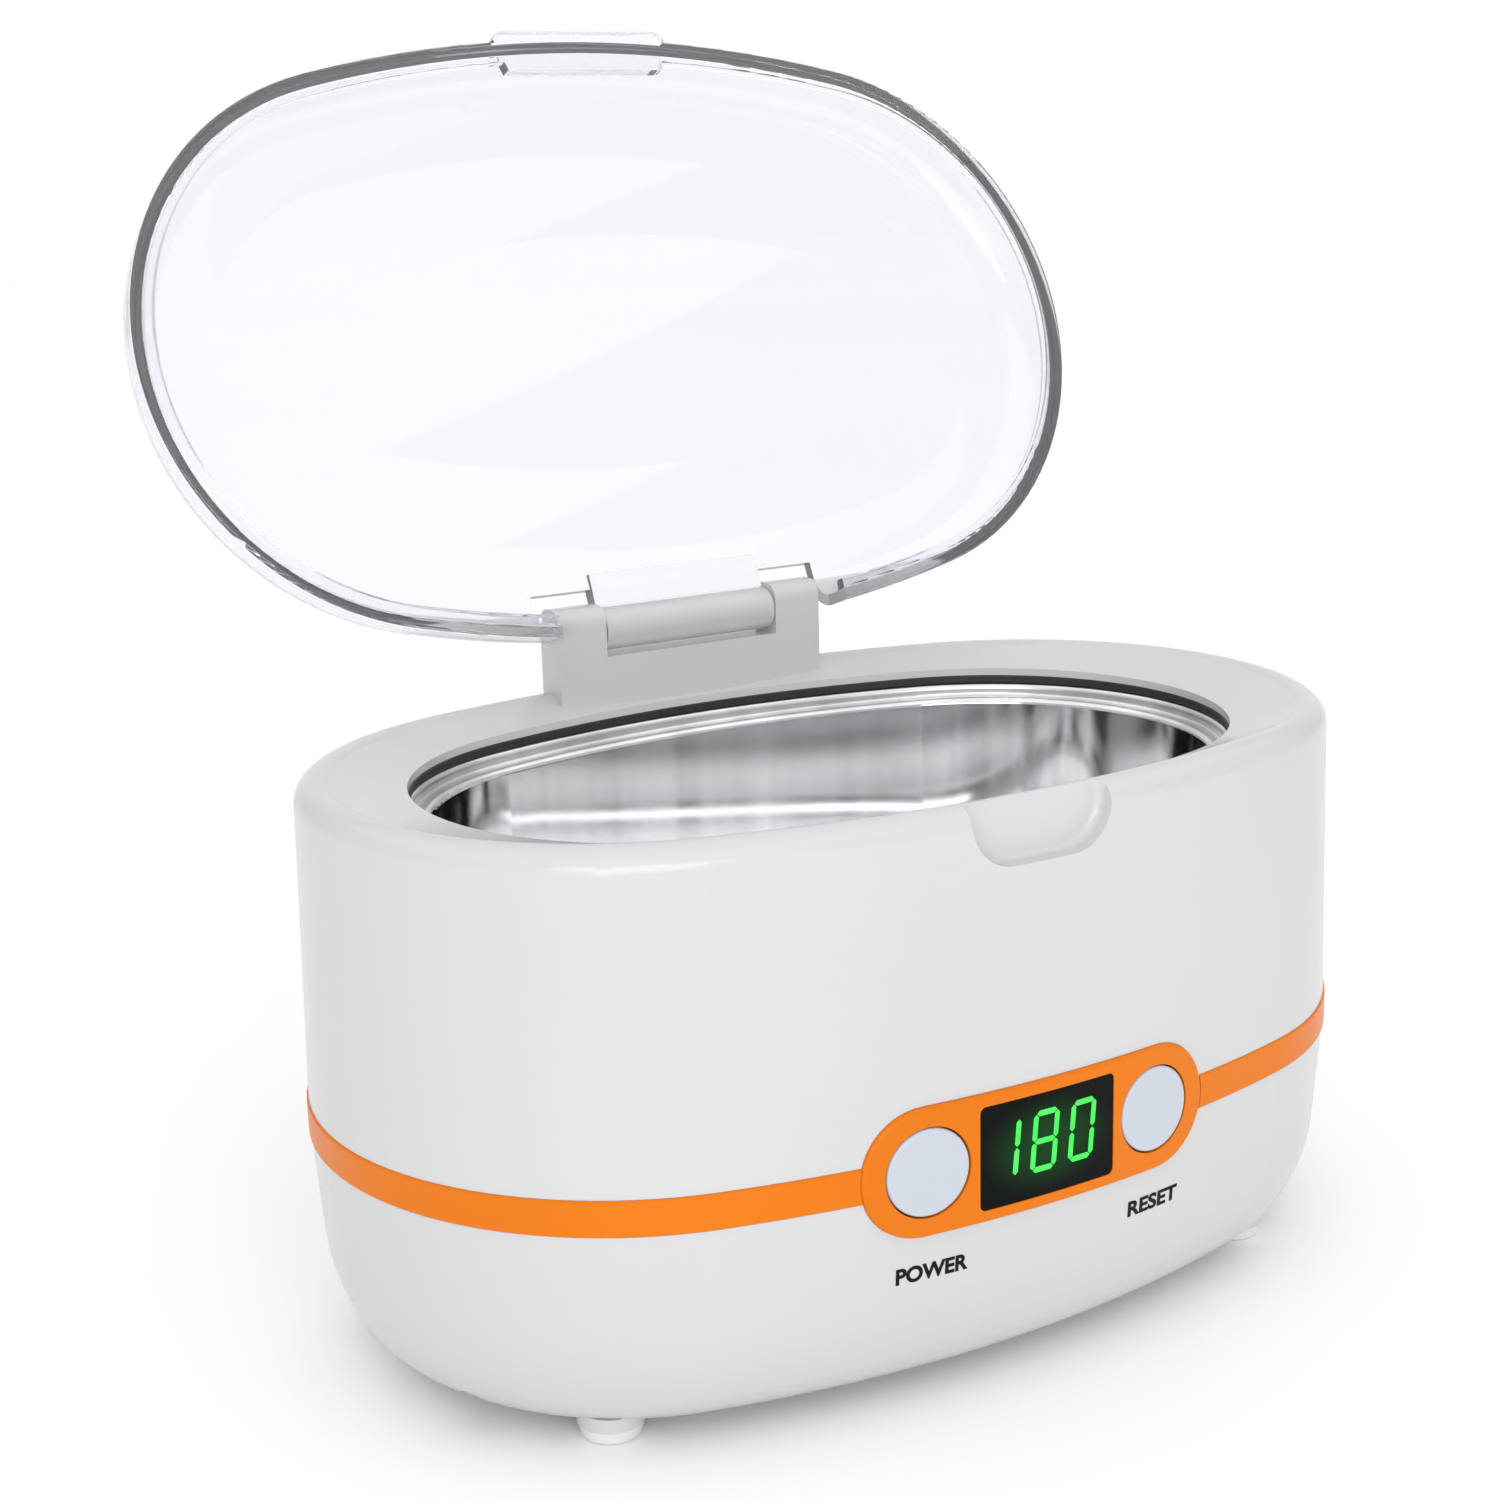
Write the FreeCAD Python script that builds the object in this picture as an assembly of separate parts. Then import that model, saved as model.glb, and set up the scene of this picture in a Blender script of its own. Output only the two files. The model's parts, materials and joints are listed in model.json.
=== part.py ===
"""Tabletop ultrasonic cleaner with a clear hinged lid, one STEP file per piece.

Millimetres, +Z up, front of the machine towards -Y. Every shape is first built about the vertical
axis of the casing, with the table at z = 0. The whole model is then moved along Y so that the
origin is the bottom centre of the box round the open machine. The lid is open at rest.
"""
import FreeCAD, Part
import math
import os
from FreeCAD import Vector

# Casing outline: two long arcs and two end arcs (half length, half depth, end arc radius).
CASE = (102.5, 63.9, 58.0)
FOOT_HEIGHT = 2.6
RIM_Z = 107.5
SEAM_Z = 46.5
WALL = 2.6
DRAFT = 1.2
FLOOR_THICKNESS = 2.4
RIM_EDGE_RADIUS = 4.0
RIM_PEAK_RISE = 2.1
RIM_SLOPE_INSET = 6.0
CORE_INSET = 26.0

# Tank opening and the deck that slopes down to it from the rim.
OPENING = (82.3, 51.35, 46.0)
DECK_DROP = 3.7
DECK_THICKNESS = 1.5
DECK_UNDER_INSET = 2.0

# Orange band over the casing seam and the control panel on the front.
BAND_HEIGHT = 6.5
BAND_PROUD = 0.35
BAND_CHAMFER = 0.3
REBATE_DEPTH = 1.7
FIT_GAP = 0.05
PANEL_HALF_LENGTH = 36.5
PANEL_HALF_HEIGHT = 11.6
PANEL_Z = 46.8
PANEL_PROUD = 0.6
PANEL_THICKNESS = 3.5
PANEL_LEDGE = 1.6
WINDOW_WIDTH = 28.6
WINDOW_HEIGHT = 18.8
WINDOW_CORNER = 1.2
WINDOW_THICKNESS = 2.2
BUTTON_X = 24.15
BUTTON_RADIUS = 7.8
BUTTON_GAP = 0.3
BUTTON_TRAVEL = 0.6

# Finger scoop in the front wall, under the lid's tab.
SCOOP_WIDTH = 29.0
SCOOP_HEIGHT = 11.0
SCOOP_DEPTH = 3.6
SCOOP_CORNER = 8.4

# Seal and steel tank.
SEAL_HEIGHT = 1.6
SEAL_OUTSET = 4.0
FLANGE_OUTSET = 6.0
TANK_SHEET = 0.8
TANK_COLLAR_INSET = 0.6
TANK_COLLAR_HEIGHT = 2.6
TANK_LEDGE = 3.8
TANK_DEPTH = 53.5
TANK_CORNER = 16.0
TANK_BEND = 0.5
TANK_DRAFT = 1.0

# Hinge and lid.
HINGE_Y = 56.5
HINGE_HEIGHT = 11.8
HINGE_Z = RIM_Z + HINGE_HEIGHT
HINGE_HALF_WIDTH = 30.5
HINGE_THICKNESS = 8.4
HINGE_BLOCK_HEIGHT = 17.0
SLOT_HALF_WIDTH = 19.9
BARREL_HALF_WIDTH = 19.55
BARREL_RADIUS = 4.3
PIN_RADIUS = 1.6
PIN_CLEARANCE = 0.06
LID = (105.6, 63.2, 57.4)
LID_GAP = 0.5
LID_CENTRE_FROM_HINGE = 58.4
LID_HEIGHT = 14.6
LID_SHELL = 2.2
LIP_WIDTH = 4.6
LIP_HEIGHT = 2.4
LID_OPEN_DEG = 112.5
NOTCH_HALF_WIDTH = 33.0
NOTCH_DEPTH = 8.3
TAB_WIDTHS = (37.0, 39.6, 35.5)
TAB_PROUD = 1.4

# Screws, feet and cord gland.
FOOT_XY = (70.0, 35.0)
FOOT_RADIUS = 5.8
CASE_SCREW_POLAR = (49.0, 26.0)
CLAMP_POLAR = (58.0, 21.7)
BOARD_BOSS_X = 30.0
BOARD_BOSS_Z = 61.0
GLAND_Z = 22.0

# Boards.
BOARD_THICKNESS = 1.6
PANEL_BOARD_BACK_Y = -51.6
POWER_BOARD_SIZE = (112.0, 62.0)
POWER_BOARD_Z = 12.0
TRANSDUCER_RADIUS = 22.5
TRANSDUCER_THICKNESS = 3.0

# Levels that follow from the dimensions above.
OPENING_TOP = RIM_Z - DECK_DROP
INSIDE_RIM_Z = RIM_Z - 1.0
RIM_SLOPE = (RIM_PEAK_RISE + DECK_DROP) / (CASE[1] - OPENING[1])
RIM_INNER_Z = RIM_Z + RIM_PEAK_RISE - RIM_SLOPE * RIM_SLOPE_INSET
OPENING_BOTTOM = OPENING_TOP - DECK_THICKNESS
FLANGE_TOP = OPENING_BOTTOM - SEAL_HEIGHT
LEDGE_TOP = FLANGE_TOP - TANK_COLLAR_HEIGHT
TANK_FLOOR = LEDGE_TOP - TANK_DEPTH
TANK_BOTTOM = TANK_FLOOR - TANK_SHEET
BAND_LOW = SEAM_Z - BAND_HEIGHT / 2
BAND_HIGH = SEAM_Z + BAND_HEIGHT / 2
REBATE_INSET = REBATE_DEPTH - DRAFT
PANEL_BACK_INSET = PANEL_THICKNESS - PANEL_PROUD - DRAFT
PANEL_BOARD_FRONT_Y = PANEL_BOARD_BACK_Y - BOARD_THICKNESS
POWER_BOARD_TOP = POWER_BOARD_Z + BOARD_THICKNESS
LID_BASE_Z = RIM_Z + LID_GAP
LID_CENTRE_Y = HINGE_Y - LID_CENTRE_FROM_HINGE


# ---- Outlines and profiles -------------------------------------------------------------------

def long_radius(outline):
    """Radius of the long front and back arcs that meet the end arcs smoothly."""
    half_length, half_depth, end_radius = outline
    reach = half_length - end_radius
    return (reach**2 + half_depth**2 - end_radius**2) / (2 * (half_depth - end_radius))


def outline_arcs(outline):
    """The four arcs of an outline as (centre x, centre y, radius, start angle, sweep) in degrees."""
    half_length, half_depth, end_radius = outline
    big = long_radius(outline)
    reach = half_length - end_radius
    half_span = math.degrees(math.asin(reach / (big - end_radius)))
    end_sweep = 180 - 2 * half_span
    return [
        (reach, 0.0, end_radius, half_span - 90, end_sweep),
        (0.0, half_depth - big, big, 90 - half_span, 2 * half_span),
        (-reach, 0.0, end_radius, 90 + half_span, end_sweep),
        (0.0, big - half_depth, big, 270 - half_span, 2 * half_span),
    ]


def outline_wire(outline, inset, z):
    """Closed wire of an outline moved inwards by inset, at height z."""
    edges = []
    for centre_x, centre_y, radius, start, sweep in outline_arcs(outline):
        points = []
        for share in (0.0, 0.5, 1.0):
            angle = math.radians(start + share * sweep)
            x = centre_x + (radius - inset) * math.cos(angle)
            y = centre_y + (radius - inset) * math.sin(angle)
            points.append(Vector(x, y, z))
        edges.append(Part.Arc(*points).toShape())
    return Part.Wire(edges)


def outline_prism(outline, inset, low, high):
    """Upright solid with an outline as its plan."""
    return Part.Face(outline_wire(outline, inset, low)).extrude(Vector(0, 0, high - low))


def outline_loft(outline_a, inset_a, z_a, outline_b, inset_b, z_b):
    """Solid between two outlines at different heights, with straight sides."""
    wires = [outline_wire(outline_a, inset_a, z_a), outline_wire(outline_b, inset_b, z_b)]
    return Part.makeLoft(wires, True, True)


def rounded_wire(corners):
    """Closed wire in the XZ plane through (x, z, radius) corners, each rounded by its radius."""
    starts, ends, arcs = [], [], []
    count = len(corners)
    for i, (x, z, radius) in enumerate(corners):
        here = Vector(x, 0, z)
        before = Vector(corners[i - 1][0], 0, corners[i - 1][1]) - here
        after = Vector(corners[(i + 1) % count][0], 0, corners[(i + 1) % count][1]) - here
        if radius == 0:
            starts.append(here)
            ends.append(here)
            arcs.append(None)
            continue
        before.normalize()
        after.normalize()
        half_angle = before.getAngle(after) / 2
        bisector = (before + after).normalize()
        tangent = radius / math.tan(half_angle)
        middle = here + bisector * (radius / math.sin(half_angle) - radius)
        starts.append(here + before * tangent)
        ends.append(here + after * tangent)
        arcs.append(Part.Arc(starts[-1], middle, ends[-1]).toShape())
    edges = []
    for i in range(count):
        if arcs[i]:
            edges.append(arcs[i])
        edges.append(Part.makeLine(ends[i], starts[(i + 1) % count]))
    return Part.Wire(edges)


def outline_ring(outline, corners):
    """Solid swept round an outline from a profile of (inset, z, radius) corners."""
    profile = Part.Face(rounded_wire([(-inset, z, radius) for inset, z, radius in corners]))
    ring = None
    for centre_x, centre_y, radius, start, sweep in outline_arcs(outline):
        centre = Vector(centre_x, centre_y, 0)
        face = profile.translated(Vector(radius, 0, 0))
        face.rotate(Vector(0, 0, 0), Vector(0, 0, 1), start)
        face.translate(centre)
        sector = face.revolve(centre, Vector(0, 0, 1), sweep)
        ring = sector if ring is None else ring.fuse(sector)
    return ring.removeSplitter()


def turned(x, y, corners):
    """Solid turned about a vertical axis from (radius, z, corner radius) corners."""
    face = Part.Face(rounded_wire(corners))
    solid = face.revolve(Vector(0, 0, 0), Vector(0, 0, 1), 360)
    return solid.translated(Vector(x, y, 0))


def cylinder_z(radius, x, y, low, high):
    return Part.makeCylinder(radius, high - low, Vector(x, y, low), Vector(0, 0, 1))


def cylinder_y(radius, x, z, front, back):
    return Part.makeCylinder(radius, back - front, Vector(x, front, z), Vector(0, 1, 0))


def cylinder_x(radius, y, z, half_width):
    return Part.makeCylinder(radius, 2 * half_width, Vector(-half_width, y, z), Vector(1, 0, 0))


def box(x0, x1, y0, y1, z0, z1):
    return Part.makeBox(x1 - x0, y1 - y0, z1 - z0, Vector(x0, y0, z0))


def rounded_plate(width, height, corner, z, front, back):
    """Upright rectangular plate with rounded corners, centred on x = 0 and on height z."""
    half_width = width / 2
    corners = [
        (-half_width, z - height / 2, corner),
        (half_width, z - height / 2, corner),
        (half_width, z + height / 2, corner),
        (-half_width, z + height / 2, corner),
    ]
    face = Part.Face(rounded_wire(corners)).translated(Vector(0, front, 0))
    return face.extrude(Vector(0, back - front, 0))


def stadium(margin):
    """Prism through the front wall with the control panel's outline, grown by margin."""
    radius = PANEL_HALF_HEIGHT + margin
    reach = PANEL_HALF_LENGTH - PANEL_HALF_HEIGHT
    front = -CASE[1] - 10
    depth = 22
    edges = []
    for side in (1, -1):
        start = Vector(side * reach, front, PANEL_Z - side * radius)
        middle = Vector(side * (reach + radius), front, PANEL_Z)
        end = Vector(side * reach, front, PANEL_Z + side * radius)
        edges.append(Part.Arc(start, middle, end).toShape())
        edges.append(Part.makeLine(end, end - Vector(2 * side * reach, 0, 0)))
    return Part.Face(Part.Wire(edges)).extrude(Vector(0, depth, 0))


def front_skin(outset, inset):
    """Layer along the casing's front wall between two depths, tall enough for the panel."""
    low = PANEL_Z - 20
    high = PANEL_Z + 20
    layer = outline_prism(CASE, -outset, low, high).cut(outline_prism(CASE, inset, low, high))
    return layer.common(box(-60, 60, -CASE[1] - 10, -20, low, high))


def polar_points(outline, polar):
    """The four points at (radius, angle) round an outline's two end centres."""
    radius, angle = polar
    reach = outline[0] - outline[2]
    x = reach + radius * math.cos(math.radians(angle))
    y = radius * math.sin(math.radians(angle))
    return [(sx * x, sy * y) for sx in (1, -1) for sy in (1, -1)]


def fuse_all(shapes):
    return shapes[0].fuse(shapes[1:])


def screw(x, y, head_z, tip_z, shaft_radius, head_radius, head_height):
    """Pan-head screw with a cross recess, its head below and its shaft pointing up."""
    shaft = cylinder_z(shaft_radius, x, y, head_z, tip_z)
    head = turned(x, y, [
        (0, head_z, 0),
        (0, head_z - head_height, 0),
        (head_radius, head_z - head_height, head_height * 0.6),
        (head_radius, head_z, 0),
    ])
    slot_depth = head_height * 0.6
    low = head_z - head_height - 1
    slots = [
        box(x - a, x + a, y - b, y + b, low, head_z - head_height + slot_depth)
        for a, b in ((head_radius * 0.6, head_radius * 0.14), (head_radius * 0.14, head_radius * 0.6))
    ]
    return shaft.fuse(head).cut(slots[0]).cut(slots[1])


# ---- Casings ---------------------------------------------------------------------------------

def upper_casing():
    """Upper shell with the sloping deck, panel opening, screw posts and hinge block."""
    solid_ring = outline_ring(CASE, [
        (REBATE_INSET, SEAM_Z, 0),
        (REBATE_INSET, BAND_HIGH, 0),
        (-DRAFT, BAND_HIGH, 0),
        (0, RIM_Z + RIM_PEAK_RISE, RIM_EDGE_RADIUS),
        (RIM_SLOPE_INSET, RIM_INNER_Z, 0),
        (CORE_INSET, RIM_INNER_Z, 0),
        (CORE_INSET, SEAM_Z, 0),
    ])
    shell = solid_ring.fuse(outline_prism(CASE, CORE_INSET, SEAM_Z, RIM_INNER_Z))
    deck_top = outline_loft(OPENING, 0, OPENING_TOP, CASE, RIM_SLOPE_INSET, RIM_INNER_Z)
    deck_under = outline_loft(OPENING, 0, OPENING_BOTTOM, CASE, DECK_UNDER_INSET, RIM_Z - DECK_THICKNESS)
    hollow = outline_prism(CASE, WALL, SEAM_Z - 1, RIM_Z - DECK_THICKNESS).cut(deck_under)
    hollow = hollow.cut(outline_prism(OPENING, 0, OPENING_BOTTOM - 1, RIM_Z))
    shell = shell.cut(hollow).cut(deck_top)
    shell = shell.cut(outline_prism(OPENING, 0, SEAM_Z - 1, RIM_Z))
    shell = shell.fuse(hinge_block())
    shell = shell.fuse(scoop_backing()).cut(scoop())
    shell = shell.cut(panel_cut())
    return shell.fuse(upper_posts()).cut(upper_pilots()).removeSplitter()


def hinge_block():
    """Two knuckles on a common foot at the back of the rim, with a slot for the lid's barrel."""
    half = HINGE_THICKNESS / 2
    top = RIM_Z + HINGE_BLOCK_HEIGHT
    foot = OPENING_BOTTOM + 0.7
    profile = rounded_wire([
        (HINGE_Y - half, foot, 0),
        (HINGE_Y + half, foot, 0),
        (HINGE_Y + half, top, 3.2),
        (HINGE_Y - half, top, 3.2),
    ])
    face = Part.Face(profile)
    face.rotate(Vector(0, 0, 0), Vector(0, 0, 1), 90)
    block = face.extrude(Vector(2 * HINGE_HALF_WIDTH, 0, 0))
    block.translate(Vector(-HINGE_HALF_WIDTH, 0, 0))
    slot_floor = HINGE_Z - BARREL_RADIUS - 0.6
    slot = box(-SLOT_HALF_WIDTH, SLOT_HALF_WIDTH, HINGE_Y - 10, HINGE_Y + 10, slot_floor, top + 1)
    return block.cut(slot).cut(cylinder_x(PIN_RADIUS, HINGE_Y, HINGE_Z, HINGE_HALF_WIDTH + 1))


def scoop_shape(grow, front, back):
    width = SCOOP_WIDTH + 2 * grow
    low = RIM_Z - SCOOP_HEIGHT - grow
    corners = [
        (-width / 2, low, SCOOP_CORNER + grow),
        (width / 2, low, SCOOP_CORNER + grow),
        (width / 2, RIM_Z + 4, 0),
        (-width / 2, RIM_Z + 4, 0),
    ]
    face = Part.Face(rounded_wire(corners)).translated(Vector(0, front, 0))
    return face.extrude(Vector(0, back - front, 0))


def scoop():
    """Finger scoop: a U-shaped recess with a softened floor edge."""
    front = -CASE[1] - 4
    back = -CASE[1] + SCOOP_DEPTH
    shape = scoop_shape(0, front, back)
    behind = [e for e in shape.Edges if abs(e.BoundBox.YMin - back) < 1e-6]
    floor_edges = [e for e in behind if e.BoundBox.ZMax < RIM_Z + 3]
    return shape.makeFillet(1.6, floor_edges)


def scoop_backing():
    """Pad behind the scoop that keeps the wall thick there."""
    pad = scoop_shape(2.0, -CASE[1] + 1.5, -CASE[1] + SCOOP_DEPTH + 2.0)
    under_deck = outline_prism(CASE, 1.5, RIM_Z - SCOOP_HEIGHT - 6, INSIDE_RIM_Z)
    return pad.common(under_deck)


def panel_cut():
    """Recess for the panel's rim and the through opening behind it."""
    recess = stadium(FIT_GAP).common(front_skin(8, PANEL_BACK_INSET + FIT_GAP))
    through = stadium(-PANEL_LEDGE).common(front_skin(8, 8))
    return recess.fuse(through)


def upper_posts():
    """Case screw posts, tank clamp bosses and the bosses that hold the panel board."""
    low_radius = 4.2
    posts = []
    reach = CASE[0] - CASE[2]
    for x, y in polar_points(CASE, CASE_SCREW_POLAR):
        post = cylinder_z(low_radius, x, y, SEAM_Z, SEAM_Z + 15)
        rib = box(0, CASE[2] - WALL + 0.5 - CASE_SCREW_POLAR[0], -1.2, 1.2, SEAM_Z + 2, SEAM_Z + 15)
        side = math.copysign(1, x)
        angle = math.degrees(math.atan2(y, x - side * reach))
        rib.rotate(Vector(0, 0, 0), Vector(0, 0, 1), angle)
        posts += [post, rib.translated(Vector(x, y, 0))]
    envelope = outline_prism(CASE, 1.5, SEAM_Z, INSIDE_RIM_Z)
    embed = 0.6
    under_rim = RIM_Z - DECK_THICKNESS + embed
    under = outline_loft(OPENING, 0, OPENING_BOTTOM + embed, CASE, DECK_UNDER_INSET, under_rim)
    clamp_top = FLANGE_TOP - TANK_SHEET - FIT_GAP
    for x, y in polar_points(OPENING, CLAMP_POLAR):
        posts.append(cylinder_z(3.0, x, y, clamp_top, INSIDE_RIM_Z).cut(under))
    for side in (-1, 1):
        boss_back = PANEL_BOARD_FRONT_Y - FIT_GAP
        posts.append(cylinder_y(3.0, side * BOARD_BOSS_X, BOARD_BOSS_Z, -CASE[1] + 0.5, boss_back))
    return fuse_all([post.common(envelope) for post in posts])


def upper_pilots():
    """Screw holes in the posts and bosses."""
    holes = [cylinder_z(1.5, x, y, SEAM_Z - 1, SEAM_Z + 12) for x, y in polar_points(CASE, CASE_SCREW_POLAR)]
    for x, y in polar_points(OPENING, CLAMP_POLAR):
        holes.append(cylinder_z(1.3, x, y, FLANGE_TOP - 3, FLANGE_TOP + 5))
    for side in (-1, 1):
        back = PANEL_BOARD_FRONT_Y
        holes.append(cylinder_y(1.3, side * BOARD_BOSS_X, BOARD_BOSS_Z, back - 4.5, back + 1))
    return fuse_all(holes)


def lower_envelope():
    """Outer form of the lower casing as a filled solid."""
    ring = outline_ring(CASE, lower_outer() + [(CORE_INSET, SEAM_Z, 0), (REBATE_INSET, SEAM_Z, 0)])
    return ring.fuse(outline_prism(CASE, CORE_INSET, FOOT_HEIGHT, SEAM_Z))


def lower_outer():
    """Outer profile of the lower casing, from the band down to the flat of the base."""
    return [
        (REBATE_INSET, BAND_LOW, 0),
        (-DRAFT, BAND_LOW, 0),
        (0.6, 17.0, 32.0),
        (8.5, FOOT_HEIGHT + 0.9, 14.0),
        (CORE_INSET, FOOT_HEIGHT, 0),
    ]


def lower_casing():
    """Lower shell: rounded base with foot pads, screw posts, board posts and the gland hole."""
    floor_top = FOOT_HEIGHT + FLOOR_THICKNESS
    ring = outline_ring(CASE, lower_outer() + [
        (CORE_INSET, floor_top, 0),
        (10.2, floor_top + 0.7, 11.0),
        (3.0, 17.6, 26.0),
        (WALL, SEAM_Z, 0),
        (REBATE_INSET, SEAM_Z, 0),
    ])
    shell = ring.fuse(outline_prism(CASE, CORE_INSET, FOOT_HEIGHT, floor_top))
    additions = []
    for sx in (1, -1):
        for sy in (1, -1):
            foot_x = sx * FOOT_XY[0]
            foot_y = sy * FOOT_XY[1]
            additions.append(cylinder_z(FOOT_RADIUS + 0.2, foot_x, foot_y, FOOT_HEIGHT, floor_top + 0.2))
            board_x = sx * (POWER_BOARD_SIZE[0] / 2 - 5)
            board_y = sy * (POWER_BOARD_SIZE[1] / 2 - 5)
            additions.append(cylinder_z(3.5, board_x, board_y, floor_top - 1, POWER_BOARD_Z))
    envelope = lower_envelope()
    for x, y in polar_points(CASE, CASE_SCREW_POLAR):
        additions.append(cylinder_z(4.2, x, y, FOOT_HEIGHT, SEAM_Z).common(envelope))
    shell = shell.fuse(additions)
    holes = [panel_cut(), cylinder_y(5.05, 0, GLAND_Z, 50, 70)]
    for x, y in polar_points(CASE, CASE_SCREW_POLAR):
        holes.append(cylinder_z(3.0, x, y, 0, SEAM_Z - 16))
        holes.append(cylinder_z(1.6, x, y, SEAM_Z - 17, SEAM_Z + 1))
    for x, y in board_screw_points():
        holes.append(cylinder_z(1.3, x, y, POWER_BOARD_Z - 6, POWER_BOARD_Z + 1))
    return shell.cut(fuse_all(holes)).removeSplitter()


def board_screw_points():
    half_x = POWER_BOARD_SIZE[0] / 2 - 5
    half_y = POWER_BOARD_SIZE[1] / 2 - 5
    return [(sx * half_x, sy * half_y) for sx in (1, -1) for sy in (1, -1)]


def band_trim():
    """Slightly proud ring over the seam, open where the control panel sits."""
    outer = -DRAFT - BAND_PROUD
    low = BAND_LOW + FIT_GAP
    high = BAND_HIGH - FIT_GAP
    inner = REBATE_INSET - FIT_GAP
    ring = outline_ring(CASE, [
        (outer + BAND_CHAMFER, low, 0),
        (outer, low + BAND_CHAMFER, 0),
        (outer, high - BAND_CHAMFER, 0),
        (outer + BAND_CHAMFER, high, 0),
        (inner, high, 0),
        (inner, low, 0),
    ])
    return ring.cut(stadium(2 * FIT_GAP))


def feet():
    """Four round feet under the base."""
    shapes = []
    for sx in (1, -1):
        for sy in (1, -1):
            shapes.append(turned(sx * FOOT_XY[0], sy * FOOT_XY[1], [
                (0, 0, 0),
                (FOOT_RADIUS - 0.5, 0, 0.9),
                (FOOT_RADIUS, FOOT_HEIGHT, 0),
                (0, FOOT_HEIGHT, 0),
            ]))
    return Part.makeCompound(shapes)


def case_screws():
    head_z = SEAM_Z - 16
    points = polar_points(CASE, CASE_SCREW_POLAR)
    return Part.makeCompound([screw(x, y, head_z, SEAM_Z + 11, 1.45, 2.8, 2.0) for x, y in points])


def cord_gland():
    """Rubber grommet in the back wall with a narrow slot for a flat cord."""
    wall = CASE[1]
    outer = cylinder_y(6.8, 0, GLAND_Z, wall + 0.3, wall + 2.2)
    neck = cylinder_y(5.0, 0, GLAND_Z, wall - 4.8, wall + 0.3)
    lip = cylinder_y(6.4, 0, GLAND_Z, wall - 6.4, wall - 4.8)
    slot = box(-2.9, 2.9, wall - 8, wall + 5, GLAND_Z - 1.7, GLAND_Z + 1.7)
    return fuse_all([outer, neck, lip]).cut(slot)


# ---- Control panel ---------------------------------------------------------------------------

def control_panel():
    """Orange panel that follows the casing's curve, with a softened rim and its three openings."""
    body = stadium(0).common(front_skin(PANEL_PROUD + DRAFT, PANEL_BACK_INSET))
    rim = [e for e in body.Edges if is_panel_rim(e)]
    body = body.makeFillet(0.8, rim)
    window = rounded_plate(WINDOW_WIDTH, WINDOW_HEIGHT, WINDOW_CORNER, PANEL_Z, -CASE[1] - 8, -CASE[1] + 8)
    body = body.cut(window)
    for side in (-1, 1):
        hole = cylinder_y(BUTTON_RADIUS + BUTTON_GAP, side * BUTTON_X, PANEL_Z, -CASE[1] - 8, -CASE[1] + 12)
        body = body.cut(hole)
    return body


def is_panel_rim(edge):
    """True for the edges round the panel's front face."""
    outset = PANEL_PROUD + DRAFT
    big = long_radius(CASE) + outset
    middle = edge.valueAt((edge.FirstParameter + edge.LastParameter) / 2)
    centre_y = big - outset - CASE[1]
    return abs(math.hypot(middle.x, middle.y - centre_y) - big) < 1e-3


def display_window():
    """Dark window, flush with the panel."""
    outset = PANEL_PROUD + DRAFT - 0.15
    gap = 2 * FIT_GAP
    plate = rounded_plate(
        WINDOW_WIDTH - gap, WINDOW_HEIGHT - gap, WINDOW_CORNER, PANEL_Z, -CASE[1] - 8, -CASE[1] + 8)
    return plate.common(front_skin(outset, WINDOW_THICKNESS - outset))


def display_module():
    """Three-digit display block on the panel board, with its light openings facing the window."""
    front = -CASE[1] + 1.2
    block = box(-12.8, 12.8, front, PANEL_BOARD_FRONT_Y, PANEL_Z - 8.2, PANEL_Z + 8.2)
    digits = [box(x - 2.8, x + 2.8, front - 1, front + 1.0, PANEL_Z - 5.5, PANEL_Z + 5.5) for x in (-8, 0, 8)]
    return block.cut(fuse_all(digits))


def button(side):
    """Round push button: a cap flush with the panel, a retaining flange and a stem."""
    x = side * BUTTON_X
    face = front_skin(PANEL_PROUD + DRAFT + 0.1, 12)
    stem_tip = PANEL_BOARD_FRONT_Y - 4.9
    cap = cylinder_y(BUTTON_RADIUS, x, PANEL_Z, -CASE[1] - 8, -CASE[1] + 4.6).common(face)
    rim = [e for e in cap.Edges if e.BoundBox.YMax < -CASE[1] + 2.0 and e.BoundBox.XLength > 2]
    cap = cap.makeFillet(0.5, rim)
    flange = cylinder_y(BUTTON_RADIUS + 1.0, x, PANEL_Z, -CASE[1] + 4.4, -CASE[1] + 5.4)
    stem = cylinder_y(2.2, x, PANEL_Z, -CASE[1] + 5.2, stem_tip)
    return fuse_all([cap, flange, stem])


def panel_board():
    """Board behind the panel that carries the display and the two switches."""
    board = box(-38, 38, PANEL_BOARD_FRONT_Y, PANEL_BOARD_BACK_Y, 36, 65)
    for side in (-1, 1):
        board = board.cut(cylinder_y(1.5, side * BOARD_BOSS_X, BOARD_BOSS_Z, -60, -45))
    return board


def panel_switches():
    """Two tact switches: a square body and a round plunger."""
    shapes = []
    for side in (-1, 1):
        x = side * BUTTON_X
        body = box(x - 3, x + 3, PANEL_BOARD_FRONT_Y - 3.4, PANEL_BOARD_FRONT_Y, PANEL_Z - 3, PANEL_Z + 3)
        plunger = cylinder_y(1.75, x, PANEL_Z, PANEL_BOARD_FRONT_Y - 4.0, PANEL_BOARD_FRONT_Y - 3.4)
        shapes.append(body.fuse(plunger))
    return Part.makeCompound(shapes)


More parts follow.
